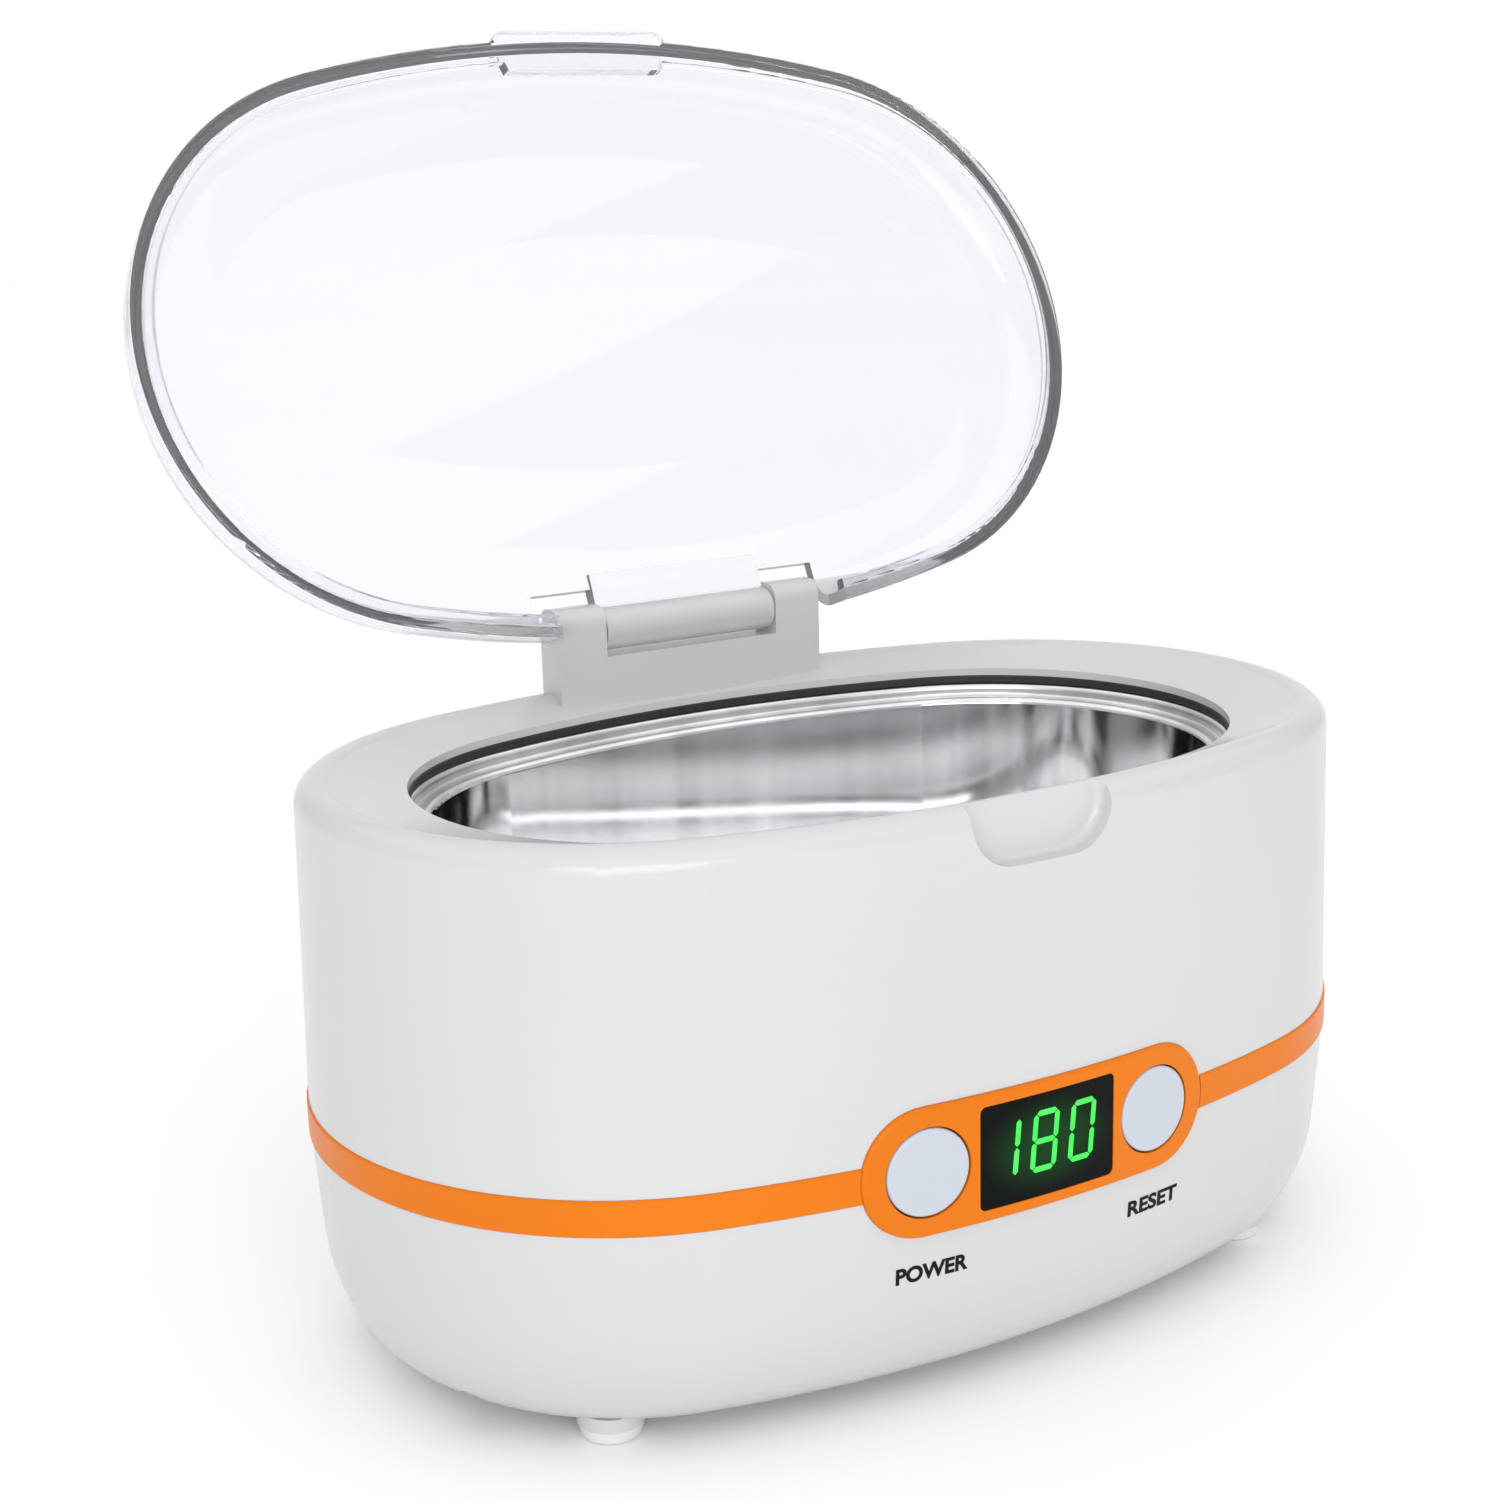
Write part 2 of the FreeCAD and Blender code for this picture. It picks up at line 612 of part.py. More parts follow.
def panel_board_screws():
    shapes = []
    for side in (-1, 1):
        upright = screw(0, 0, 0, 5.5, 1.25, 2.3, 1.5)
        upright.rotate(Vector(0, 0, 0), Vector(1, 0, 0), 90)
        shapes.append(upright.translated(Vector(side * BOARD_BOSS_X, PANEL_BOARD_BACK_Y, BOARD_BOSS_Z)))
    return Part.makeCompound(shapes)


# ---- Tank ------------------------------------------------------------------------------------

def tank_seal():
    """Dark rubber ring between the deck and the tank's flange."""
    return outline_ring(OPENING, [
        (0.4, FLANGE_TOP, 0.3),
        (0.4, OPENING_BOTTOM, 0.3),
        (-SEAL_OUTSET, OPENING_BOTTOM, 0),
        (-SEAL_OUTSET, FLANGE_TOP, 0),
    ])


def tank():
    """Deep-drawn steel tank with a flange, a short collar, a rounded ledge and a rounded bottom."""
    inner_low = TANK_LEDGE + TANK_DRAFT
    core = 30.0
    ring = outline_ring(OPENING, [
        (-FLANGE_OUTSET, FLANGE_TOP, 0),
        (TANK_COLLAR_INSET, FLANGE_TOP, TANK_BEND + TANK_SHEET),
        (TANK_COLLAR_INSET, LEDGE_TOP, TANK_BEND),
        (TANK_LEDGE, LEDGE_TOP, TANK_BEND + TANK_SHEET),
        (inner_low, TANK_FLOOR, TANK_CORNER),
        (core, TANK_FLOOR, 0),
        (core, TANK_BOTTOM, 0),
        (inner_low - TANK_SHEET, TANK_BOTTOM, TANK_CORNER + TANK_SHEET),
        (TANK_LEDGE - TANK_SHEET, LEDGE_TOP - TANK_SHEET, TANK_BEND),
        (TANK_COLLAR_INSET - TANK_SHEET, LEDGE_TOP - TANK_SHEET, TANK_BEND + TANK_SHEET),
        (TANK_COLLAR_INSET - TANK_SHEET, FLANGE_TOP - TANK_SHEET, TANK_BEND),
        (-FLANGE_OUTSET, FLANGE_TOP - TANK_SHEET, 0),
    ])
    return ring.fuse(outline_prism(OPENING, core, TANK_BOTTOM, TANK_FLOOR)).removeSplitter()


def tank_clamps():
    """Four steel clips that hold the flange up against the seal."""
    top = FLANGE_TOP - TANK_SHEET - FIT_GAP
    reach = OPENING[0] - OPENING[2]
    shapes = []
    for x, y in polar_points(OPENING, CLAMP_POLAR):
        side = math.copysign(1, x)
        clip = box(49.5, 61.2, -3.4, 3.4, top - 1.2, top)
        clip = clip.cut(cylinder_z(1.5, CLAMP_POLAR[0], 0, top - 5, top + 5))
        angle = math.degrees(math.atan2(y, x - side * reach))
        clip.rotate(Vector(0, 0, 0), Vector(0, 0, 1), angle)
        shapes.append(clip.translated(Vector(side * reach, 0, 0)))
    return Part.makeCompound(shapes)


def clamp_screws():
    head_z = FLANGE_TOP - TANK_SHEET - FIT_GAP - 1.2
    points = polar_points(OPENING, CLAMP_POLAR)
    return Part.makeCompound([screw(x, y, head_z, head_z + 6.5, 1.25, 2.3, 1.6) for x, y in points])


def transducer():
    """Piezo disc bonded under the tank."""
    return cylinder_z(TRANSDUCER_RADIUS, 0, 0, TANK_BOTTOM - TRANSDUCER_THICKNESS, TANK_BOTTOM)


# ---- Power electronics -----------------------------------------------------------------------

def power_board():
    half_x = POWER_BOARD_SIZE[0] / 2
    half_y = POWER_BOARD_SIZE[1] / 2
    board = box(-half_x, half_x, -half_y, half_y, POWER_BOARD_Z, POWER_BOARD_TOP)
    for x, y in board_screw_points():
        board = board.cut(cylinder_z(1.5, x, y, POWER_BOARD_Z - 1, POWER_BOARD_TOP + 1))
    return board


def power_board_screws():
    shapes = []
    for x, y in board_screw_points():
        upright = screw(0, 0, 0, 6.5, 1.25, 2.3, 1.6)
        upright.rotate(Vector(0, 0, 0), Vector(1, 0, 0), 180)
        shapes.append(upright.translated(Vector(x, y, POWER_BOARD_TOP)))
    return Part.makeCompound(shapes)


def transformer_core():
    """Pair of E-shaped ferrite halves, as one closed frame with a centre leg."""
    x = -28.0
    low = POWER_BOARD_TOP + 2.0
    frame = box(x - 14, x + 14, -6, 6, low, low + 20)
    for side in (-1, 1):
        middle = x + side * 7.25
        frame = frame.cut(box(middle - 3.25, middle + 3.25, -7, 7, low + 4, low + 16))
    return frame


def transformer_coil():
    """Wound bobbin round the ferrite's centre leg, standing on the board."""
    x = -28.0
    low = POWER_BOARD_TOP + 6.2
    outer = box(x - 7.0, x + 7.0, -10.5, 10.5, low, low + 11.6)
    inner = box(x - 4.05, x + 4.05, -6.05, 6.05, low - 1, low + 13)
    legs = []
    for dx in (-5, 0, 5):
        for y in (-9.5, 9.5):
            legs.append(cylinder_z(0.5, x + dx, y, POWER_BOARD_TOP, low + 0.5))
    return outer.cut(inner).fuse(legs)


def output_inductor():
    """Drum inductor that tunes the transducer."""
    return turned(5, 12, [
        (0, POWER_BOARD_TOP, 0),
        (8, POWER_BOARD_TOP, 0),
        (8, POWER_BOARD_TOP + 3, 0),
        (6.4, POWER_BOARD_TOP + 3, 0),
        (6.4, POWER_BOARD_TOP + 13, 0),
        (8, POWER_BOARD_TOP + 13, 0),
        (8, POWER_BOARD_TOP + 16, 0),
        (0, POWER_BOARD_TOP + 16, 0),
    ])


def capacitors():
    """Two smoothing capacitors with rounded cans."""
    shapes = []
    for y in (-14.0, 2.0):
        shapes.append(turned(28, y, [
            (0, POWER_BOARD_TOP, 0),
            (6.3, POWER_BOARD_TOP, 0.6),
            (6.3, POWER_BOARD_TOP + 20, 0.8),
            (0, POWER_BOARD_TOP + 20, 0),
        ]))
    return Part.makeCompound(shapes)


def heat_sink():
    """Finned aluminium heat sink of the drive transistor."""
    low = POWER_BOARD_TOP
    sink = box(-6, 14, -18, -16, low, low + 20)
    for fin in range(5):
        x = -6 + fin * 4.5
        sink = sink.fuse(box(x, x + 2, -24, -18, low, low + 20))
    return sink.removeSplitter()


def drive_transistor():
    """Flat power transistor against the heat sink, with three legs."""
    low = POWER_BOARD_TOP
    body = box(-1, 9, -15.95, -11.5, low + 5, low + 15)
    legs = [box(x - 0.4, x + 0.4, -14.2, -13.4, low, low + 5.2) for x in (1.5, 4.0, 6.5)]
    return body.fuse(legs)


def fuse_link():
    """Glass fuse with two end caps in its clips, as one piece."""
    left = 20.0
    y = 24.0
    z = POWER_BOARD_TOP + 5
    glass = Part.makeCylinder(2.3, 20, Vector(left + 1, y, z), Vector(1, 0, 0))
    caps = [Part.makeCylinder(2.6, 5, Vector(left + dx, y, z), Vector(1, 0, 0)) for dx in (0, 17)]
    clips = [box(left + dx, left + dx + 4, y - 2.2, y + 2.2, POWER_BOARD_TOP, z) for dx in (0.5, 17.5)]
    return fuse_all([glass] + caps + clips)


def terminal_block():
    """Two-way terminal for the cord's cores."""
    body = box(38, 50, 6, 16, POWER_BOARD_TOP, POWER_BOARD_TOP + 10)
    for y in (8.5, 13.5):
        body = body.cut(Part.makeCylinder(1.5, 6, Vector(45, y, POWER_BOARD_TOP + 3), Vector(1, 0, 0)))
        body = body.cut(cylinder_z(1.8, 44, y, POWER_BOARD_TOP + 8, POWER_BOARD_TOP + 12))
    return body


# ---- Hinge and lid ---------------------------------------------------------------------------

def hinge_pin():
    return cylinder_x(PIN_RADIUS, HINGE_Y, HINGE_Z, HINGE_HALF_WIDTH + 0.25)


def lid():
    """Clear lid with a soft shoulder, a lip, a front tab and the hinge barrel, in its open place."""
    top = LID_BASE_Z + LID_HEIGHT
    core = 38.0
    ring = outline_ring(LID, [
        (0.0, LID_BASE_Z, 0.6),
        (0.7, top - 1.9, 7.5),
        (20.0, top - 0.6, 60.0),
        (core, top, 0),
        (core, top - LID_SHELL, 0),
        (20.0, top - 0.6 - LID_SHELL, 57.0),
        (0.7 + LID_SHELL, top - 1.9 - LID_SHELL, 5.2),
        (0.2 + LID_SHELL, LID_BASE_Z + LIP_HEIGHT, 0.8),
        (LIP_WIDTH, LID_BASE_Z + LIP_HEIGHT, 0.6),
        (LIP_WIDTH, LID_BASE_Z, 0.5),
    ])
    shell = ring.fuse(outline_prism(LID, core, top - LID_SHELL, top))
    shell.translate(Vector(0, LID_CENTRE_Y, 0))
    notch_y = HINGE_Y - NOTCH_DEPTH
    shell = shell.cut(box(-NOTCH_HALF_WIDTH, NOTCH_HALF_WIDTH, notch_y, HINGE_Y + 20, 0, top + 5))
    shell = shell.fuse(front_tab()).fuse(hinge_arm(notch_y))
    shell = shell.cut(cylinder_x(PIN_RADIUS + PIN_CLEARANCE, HINGE_Y, HINGE_Z, BARREL_HALF_WIDTH + 1))
    shell = shell.removeSplitter()
    shell.rotate(Vector(0, HINGE_Y, HINGE_Z), Vector(1, 0, 0), -LID_OPEN_DEG)
    return shell


def front_tab():
    """Trapezoid finger tab at the lip, a little proud of the lid's front."""
    edge = LID_CENTRE_Y - LID[1]
    half_outer, half_lip, half_inner = [width / 2 for width in TAB_WIDTHS]
    rows = [(edge - TAB_PROUD, half_outer), (edge + 0.4, half_lip), (edge + 7.0, half_inner)]
    points = [Vector(-half, y, LID_BASE_Z) for y, half in rows]
    points += [Vector(half, y, LID_BASE_Z) for y, half in reversed(rows)]
    tab = Part.Face(Part.makePolygon(points + [points[0]])).extrude(Vector(0, 0, LIP_HEIGHT + 0.4))
    upright = [e for e in tab.Edges if e.BoundBox.ZLength > 1 and e.BoundBox.YMax < edge]
    return tab.makeFillet(1.0, upright)


def hinge_arm(notch_y):
    """Barrel on the hinge axis and the flat arm that joins it to the lid."""
    half = BARREL_HALF_WIDTH
    arm = box(-half, half, notch_y - 3.0, HINGE_Y, HINGE_Z - 1.0, HINGE_Z + 2.2)
    return arm.fuse(cylinder_x(BARREL_RADIUS, HINGE_Y, HINGE_Z, half))


# ---- Assembly --------------------------------------------------------------------------------

def build_nodes():
    """All pieces by node name, about the casing's own axis."""
    return {
        "upper_casing": upper_casing(),
        "lower_casing": lower_casing(),
        "band_trim": band_trim(),
        "feet": feet(),
        "case_screws": case_screws(),
        "cord_gland": cord_gland(),
        "control_panel": control_panel(),
        "display_window": display_window(),
        "display_module": display_module(),
        "power_button": button(-1),
        "reset_button": button(1),
        "panel_board": panel_board(),
        "panel_switches": panel_switches(),
        "panel_board_screws": panel_board_screws(),
        "tank_seal": tank_seal(),
        "tank": tank(),
        "tank_clamps": tank_clamps(),
        "clamp_screws": clamp_screws(),
        "transducer": transducer(),
        "power_board": power_board(),
        "power_board_screws": power_board_screws(),
        "transformer_core": transformer_core(),
        "transformer_coil": transformer_coil(),
        "output_inductor": output_inductor(),
        "capacitors": capacitors(),
        "heat_sink": heat_sink(),
        "drive_transistor": drive_transistor(),
        "fuse_link": fuse_link(),
        "terminal_block": terminal_block(),
        "hinge_pin": hinge_pin(),
        "lid": lid(),
    }


def centre_offset(nodes):
    """Move along Y that puts the origin at the bottom centre of the whole open machine."""
    bounds = FreeCAD.BoundBox()
    for shape in nodes.values():
        bounds.add(shape.optimalBoundingBox(False, False))
    return -(bounds.YMin + bounds.YMax) / 2


NODES = build_nodes()
OFFSET_Y = centre_offset(NODES)

os.makedirs("parts", exist_ok=True)
for name, shape in NODES.items():
    shape.translate(Vector(0, OFFSET_Y, 0))
    shape.exportStep("parts/" + name + ".step")
    print(name, shape.ShapeType, len(shape.Solids), round(shape.Volume, 1), shape.isValid())
print("offset y", round(OFFSET_Y, 3))
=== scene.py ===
import json
import math

import bmesh
import bpy
from mathutils import Matrix, Vector
from mathutils.bvhtree import BVHTree


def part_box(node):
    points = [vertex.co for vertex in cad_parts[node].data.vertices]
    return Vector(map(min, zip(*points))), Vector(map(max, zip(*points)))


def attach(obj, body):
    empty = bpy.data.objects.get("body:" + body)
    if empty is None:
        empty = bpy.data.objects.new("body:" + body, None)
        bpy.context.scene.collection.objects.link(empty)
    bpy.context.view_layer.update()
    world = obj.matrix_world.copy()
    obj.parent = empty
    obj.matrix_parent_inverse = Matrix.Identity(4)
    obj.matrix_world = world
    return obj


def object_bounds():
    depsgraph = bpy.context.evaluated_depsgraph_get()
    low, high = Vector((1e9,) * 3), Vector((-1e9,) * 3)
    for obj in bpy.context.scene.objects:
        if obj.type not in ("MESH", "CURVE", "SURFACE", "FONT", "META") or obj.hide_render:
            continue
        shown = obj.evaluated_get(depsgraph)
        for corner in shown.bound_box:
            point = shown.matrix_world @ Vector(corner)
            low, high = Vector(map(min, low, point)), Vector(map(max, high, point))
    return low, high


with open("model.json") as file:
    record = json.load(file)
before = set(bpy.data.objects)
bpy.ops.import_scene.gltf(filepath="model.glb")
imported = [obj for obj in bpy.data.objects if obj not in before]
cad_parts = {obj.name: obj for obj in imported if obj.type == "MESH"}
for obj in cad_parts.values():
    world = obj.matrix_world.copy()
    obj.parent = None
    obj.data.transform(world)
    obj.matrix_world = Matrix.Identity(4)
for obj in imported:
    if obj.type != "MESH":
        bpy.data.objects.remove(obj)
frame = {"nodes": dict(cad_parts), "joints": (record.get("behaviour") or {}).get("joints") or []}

CAD_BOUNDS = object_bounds()
MM = 0.001
NODES = frame["nodes"]


# ---- Places read from the frame --------------------------------------------------------------

def middle(node):
    """Centre of a CAD node's box."""
    low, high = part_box(node)
    return (Vector(low) + Vector(high)) / 2


def joint_place(name):
    """Place of a joint on its axis."""
    return next(joint for joint in frame["joints"] if joint["name"] == name)["pos_m"]


CASE_MIDDLE = middle("lower_casing")
WINDOW_MIDDLE = middle("display_window")
FLANGE_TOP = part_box("tank")[1][2]
HINGE_PLACE = joint_place("lid_hinge")


# ---- Material helpers ------------------------------------------------------------------------

def principled(material):
    return material.node_tree.nodes["Principled BSDF"]


def new_material(name):
    """A node material; returns (material, tree, shader)."""
    material = bpy.data.materials.new(name)
    material.use_nodes = True
    return material, material.node_tree, principled(material)


def set_sockets(node, **values):
    """Sets plain values on a node's sockets; underscores in the names stand for spaces."""
    for name, value in values.items():
        node.inputs[name.replace("_", " ")].default_value = value


def add_node(tree, kind, **values):
    """Adds a shader node of this kind with plain values on its sockets."""
    node = tree.nodes.new("ShaderNode" + kind)
    set_sockets(node, **values)
    return node


def object_coords(tree):
    """Object coordinates, which are the frame's own coordinates while a body is at rest."""
    return add_node(tree, "TexCoord").outputs["Object"]


def noise(tree, scale, detail=3.0, stretch=(1.0, 1.0, 1.0), roughness=0.5):
    """Noise texture over object coordinates; scale counts features per metre."""
    mapping = add_node(tree, "Mapping", Scale=stretch)
    texture = add_node(tree, "TexNoise", Scale=scale, Detail=detail, Roughness=roughness)
    tree.links.new(object_coords(tree), mapping.inputs["Vector"])
    tree.links.new(mapping.outputs["Vector"], texture.inputs["Vector"])
    return texture.outputs["Fac"]


def vector_math(tree, operation, vector, other=None):
    """Vector Math node; returns it with its inputs set."""
    node = add_node(tree, "VectorMath")
    node.operation = operation
    tree.links.new(vector, node.inputs[0])
    if other is not None:
        node.inputs[1].default_value = other
    return node


def distance_from(tree, place, weights):
    """Distance of a surface point from a place, with a weight for each axis."""
    offset = vector_math(tree, "SUBTRACT", object_coords(tree), place)
    weighted = vector_math(tree, "MULTIPLY", offset.outputs["Vector"], weights)
    return vector_math(tree, "LENGTH", weighted.outputs["Vector"]).outputs["Value"]


def ramp(tree, factor, low, high, start=0.35, end=0.65):
    """Colour that runs from low to high as the factor goes from start to end."""
    node = add_node(tree, "ValToRGB")
    for stop, position, colour in zip(node.color_ramp.elements, (start, end), (low, high)):
        stop.position = position
        stop.color = (*colour, 1)
    tree.links.new(factor, node.inputs["Fac"])
    return node.outputs["Color"]


def map_range(tree, value, start, end, low=0.0, high=1.0, interpolation="LINEAR"):
    """Value that runs from low to high as the input goes from start to end."""
    node = add_node(tree, "MapRange", From_Min=start, From_Max=end, To_Min=low, To_Max=high)
    node.interpolation_type = interpolation
    tree.links.new(value, node.inputs["Value"])
    return node.outputs["Result"]


def spread(tree, factor, low, high):
    """Value that runs from low to high over a noise texture's usual range."""
    return map_range(tree, factor, 0.3, 0.7, low, high)


def mix(tree, factor, first, second):
    """Value that goes from first to second with the factor; each is a number or a socket."""
    node = add_node(tree, "Mix")
    tree.links.new(factor, node.inputs["Factor"])
    for name, value in (("A", first), ("B", second)):
        if isinstance(value, bpy.types.NodeSocket):
            tree.links.new(value, node.inputs[name])
        else:
            node.inputs[name].default_value = value
    return node.outputs["Result"]


def bump(tree, shader, height, strength, distance):
    node = add_node(tree, "Bump", Strength=strength, Distance=distance)
    tree.links.new(height, node.inputs["Height"])
    tree.links.new(node.outputs["Normal"], shader.inputs["Normal"])


def moulded_plastic(name, low, high, roughness, texture_scale=900.0, texture_depth=0.02 * MM):
    """Moulded plastic: slight colour drift, a roughness that varies and a fine moulded surface."""
    material, tree, shader = new_material(name)
    drift = noise(tree, 14.0, 2.0)
    tree.links.new(ramp(tree, drift, low, high), shader.inputs["Base Color"])
    patches = noise(tree, 55.0, 4.0)
    tree.links.new(spread(tree, patches, roughness * 0.85, roughness * 1.2), shader.inputs["Roughness"])
    grain = noise(tree, texture_scale, 2.0)
    bump(tree, shader, grain, 0.25, texture_depth)
    set_sockets(shader, IOR=1.5)
    return material


def metal(name, low, high, roughness, stretch=(1.0, 1.0, 1.0), scale=400.0, depth=0.01 * MM):
    """Metal with streaks or grain in its colour, roughness and, where it has a depth, its surface."""
    material, tree, shader = new_material(name)
    streaks = noise(tree, scale, 4.0, stretch, 0.6)
    tree.links.new(ramp(tree, streaks, low, high), shader.inputs["Base Color"])
    tree.links.new(spread(tree, streaks, roughness * 0.7, roughness * 1.4), shader.inputs["Roughness"])
    if depth:
        bump(tree, shader, streaks, 0.3, depth)
    set_sockets(shader, Metallic=1.0)
    return material


# ---- Materials -------------------------------------------------------------------------------

def white_casing():
    return moulded_plastic("white_casing", (0.552, 0.555, 0.563), (0.570, 0.573, 0.580), 0.22)


def orange_trim():
    material = moulded_plastic("orange_trim", (0.66, 0.155, 0.0), (0.70, 0.17, 0.0), 0.33)
    set_sockets(principled(material), Specular_IOR_Level=0.2)
    return material


def button_plastic():
    return moulded_plastic("button_plastic", (0.475, 0.515, 0.580), (0.495, 0.535, 0.600), 0.3)


# Size of the painted glow on the window around the digits.
GLOW_HALF_WIDTH = 15.5 * MM
GLOW_HALF_HEIGHT = 9.5 * MM


def window_tint():
    """Near-black tinted window with a faint painted green glow where the digits stand: emission on the
    window stands in for their light spilling into it.
    """
    material = moulded_plastic("window_tint", (0.004, 0.0045, 0.0045), (0.006, 0.0065, 0.0065), 0.1)
    tree = material.node_tree
    shader = principled(material)
    # painted glow: the window's emission, strongest at its middle, stands in for light from the digits
    distance = distance_from(tree, WINDOW_MIDDLE, (1 / GLOW_HALF_WIDTH, 1.0, 1 / GLOW_HALF_HEIGHT))
    glow = map_range(tree, distance, 1.0, 0.25, 0.0, 0.05, "SMOOTHSTEP")
    tree.links.new(glow, shader.inputs["Emission Strength"])
    set_sockets(shader, Emission_Color=(0.05, 1.0, 0.12, 1), Specular_IOR_Level=0.05)
    return material


def lit_digit():
    """Green light of a lit segment, a little uneven along the bar."""
    material, tree, shader = new_material("lit_digit")
    colour = ramp(tree, noise(tree, 260.0, 1.0), (0.025, 0.68, 0.05), (0.05, 0.84, 0.09))
    tree.links.new(colour, shader.inputs["Emission Color"])
    set_sockets(shader, Base_Color=(0.02, 0.30, 0.04, 1), Roughness=0.4, Emission_Strength=1.0)
    return material


def printed_ink():
    material = moulded_plastic("printed_ink", (0.006, 0.006, 0.007), (0.010, 0.010, 0.011), 0.5)
    set_sockets(principled(material), Specular_IOR_Level=0.1)
    return material


def black_rubber():
    dark, light = (0.014, 0.014, 0.015), (0.022, 0.022, 0.023)
    return moulded_plastic("black_rubber", dark, light, 0.55, 1500.0, 0.04 * MM)


def foot_rubber():
    return moulded_plastic("foot_rubber", (0.68, 0.69, 0.70), (0.74, 0.75, 0.76), 0.6, 1500.0, 0.05 * MM)


# The draw marks and the broad painted reflection bands in the steel's colour run up the tank's wall, and the
# mirror turns satin between two heights.
DRAW_MARK_AND_PAINTED_REFLECTION_STRETCH = (1.0, 1.0, 0.03)
SATIN_START = FLANGE_TOP - 3.4 * MM
SATIN_END = FLANGE_TOP - 3.0 * MM
SATIN_ROUGHNESS = 0.34


def tank_steel():
    """Bright drawn stainless steel: mirror walls under a satin rim, with fine draw marks in the surface and
    broad vertical painted reflection bands, darker and lighter, in the colour.
    """
    # painted reflection: broad vertical bands between these darker and lighter colours stand in for
    # reflected surroundings, with finer draw marks among them
    dark, bright = (0.66, 0.66, 0.67), (0.90, 0.90, 0.91)
    material = metal("tank_steel", dark, bright, 0.09, DRAW_MARK_AND_PAINTED_REFLECTION_STRETCH, scale=42.0, depth=0.0)
    tree = material.node_tree
    shader = principled(material)
    bump(tree, shader, noise(tree, 900.0, 2.0, DRAW_MARK_AND_PAINTED_REFLECTION_STRETCH), 0.15, 0.004 * MM)
    parts = add_node(tree, "SeparateXYZ")
    tree.links.new(object_coords(tree), parts.inputs["Vector"])
    satin = map_range(tree, parts.outputs["Z"], SATIN_START, SATIN_END)
    polished = shader.inputs["Roughness"].links[0].from_socket
    tree.links.new(mix(tree, satin, polished, SATIN_ROUGHNESS), shader.inputs["Roughness"])
    set_sockets(shader, Anisotropic=0.3)
    return material


def screw_steel():
    return metal("screw_steel", (0.45, 0.45, 0.47), (0.62, 0.62, 0.64), 0.28, (1.0, 1.0, 1.0), 900.0)


def pin_steel():
    return metal("pin_steel", (0.55, 0.55, 0.56), (0.70, 0.70, 0.71), 0.22, (0.1, 1.0, 1.0), 1200.0)


def clip_steel():
    return metal("clip_steel", (0.42, 0.42, 0.43), (0.58, 0.58, 0.59), 0.35, (1.0, 0.1, 1.0), 800.0)


def sink_aluminium():
    return metal("sink_aluminium", (0.55, 0.56, 0.57), (0.70, 0.71, 0.72), 0.38, (1.0, 1.0, 0.08), 900.0)


def piezo_ceramic():
    return metal("piezo_ceramic", (0.52, 0.50, 0.46), (0.66, 0.64, 0.60), 0.45, (1.0, 1.0, 1.0), 500.0)


def module_black():
    return moulded_plastic("module_black", (0.012, 0.012, 0.013), (0.02, 0.02, 0.021), 0.45)


def ferrite():
    return moulded_plastic("ferrite", (0.016, 0.016, 0.017), (0.035, 0.034, 0.033), 0.6, 1200.0, 0.06 * MM)


def coil_tape():
    return moulded_plastic("coil_tape", (0.62, 0.38, 0.02), (0.72, 0.46, 0.04), 0.4)


def capacitor_sleeve():
    return moulded_plastic("capacitor_sleeve", (0.008, 0.012, 0.035), (0.014, 0.02, 0.05), 0.3)


def board_green():
    """Green solder mask, paler along the edges of square cells, as over copper traces."""
    material, tree, shader = new_material("board_green")
    traces = add_node(tree, "TexVoronoi", Scale=130.0)
    traces.distance = "CHEBYCHEV"
    traces.feature = "F1"
    tree.links.new(object_coords(tree), traces.inputs["Vector"])
    cells = traces.outputs["Distance"]
    colour = ramp(tree, cells, (0.004, 0.075, 0.02), (0.012, 0.15, 0.045), 0.30, 0.36)
    tree.links.new(colour, shader.inputs["Base Color"])
    bump(tree, shader, cells, 0.2, 0.03 * MM)
    set_sockets(shader, Roughness=0.32, IOR=1.5)
    return material


def terminal_green():
    return moulded_plastic("terminal_green", (0.03, 0.24, 0.06), (0.05, 0.30, 0.09), 0.4)


def clear_plastic(name, tint, roughness):
    """Clear moulded plastic with a faint flow waviness."""
    material, tree, shader = new_material(name)
    flow = noise(tree, 22.0, 1.0)
    bump(tree, shader, flow, 0.05, 0.2 * MM)
    haze = noise(tree, 90.0, 3.0)
    tree.links.new(spread(tree, haze, roughness * 0.5, roughness * 1.5), shader.inputs["Roughness"])
    set_sockets(shader, Base_Color=(*tint, 1), IOR=1.49, Transmission_Weight=1.0)
    return material


# The lid is frosted near the hinge's axis and turns clear between two distances from it.
LID_TINT = (0.965, 0.945, 0.990)
BARREL_TINT = (0.74, 0.74, 0.75)
BARREL_ZONE = (4.35 * MM, 4.8 * MM)


def clear_lid():
    """Clear lid, frosted and greyer all along the hinge's axis, where the barrel is."""
    material = clear_plastic("clear_lid", LID_TINT, 0.02)
    tree = material.node_tree
    shader = principled(material)
    haze = shader.inputs["Roughness"].links[0].from_socket
    past_barrel = map_range(tree, distance_from(tree, HINGE_PLACE, (0, 1, 1)), *BARREL_ZONE)
    tint = ramp(tree, past_barrel, BARREL_TINT, LID_TINT, 0.0, 1.0)
    tree.links.new(tint, shader.inputs["Base Color"])
    tree.links.new(mix(tree, past_barrel, 0.4, haze), shader.inputs["Roughness"])
    tree.links.new(mix(tree, past_barrel, 0.35, 0.95), shader.inputs["Transmission Weight"])
    return material


def fuse_glass():
    return clear_plastic("fuse_glass", (0.95, 0.97, 0.97), 0.02)


